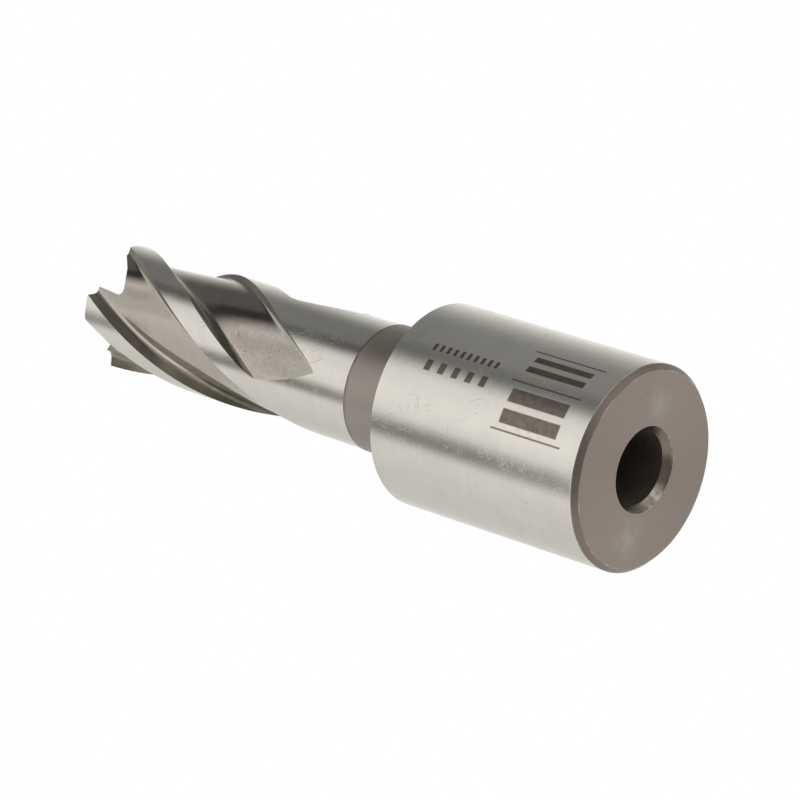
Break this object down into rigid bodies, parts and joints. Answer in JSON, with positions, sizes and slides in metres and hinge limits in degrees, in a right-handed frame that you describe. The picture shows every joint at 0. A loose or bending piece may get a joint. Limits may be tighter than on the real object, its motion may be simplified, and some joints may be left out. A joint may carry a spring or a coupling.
{
  "type": "annular cutter",
  "caption": "Small one-piece annular cutter: a thick drive shank, a turned neck and a hollow fluted body with hooked end teeth.",
  "frame": {"origin": "middle of the shank's rear face, which the cutter stands on", "axes": "+Z along the axis from the shank to the teeth; +X and +Y across it, with the drive flats' normals at 135 and 225 degrees round +Z from +X"},
  "size_m": [0.019, 0.019, 0.0643],
  "materials": {
    "tool_steel": "ground bright high speed steel, with duller turned and milled faces"
  },
  "bodies": {
    "root": {"annular_cutter": "tool_steel"}
  },
  "joints": []
}
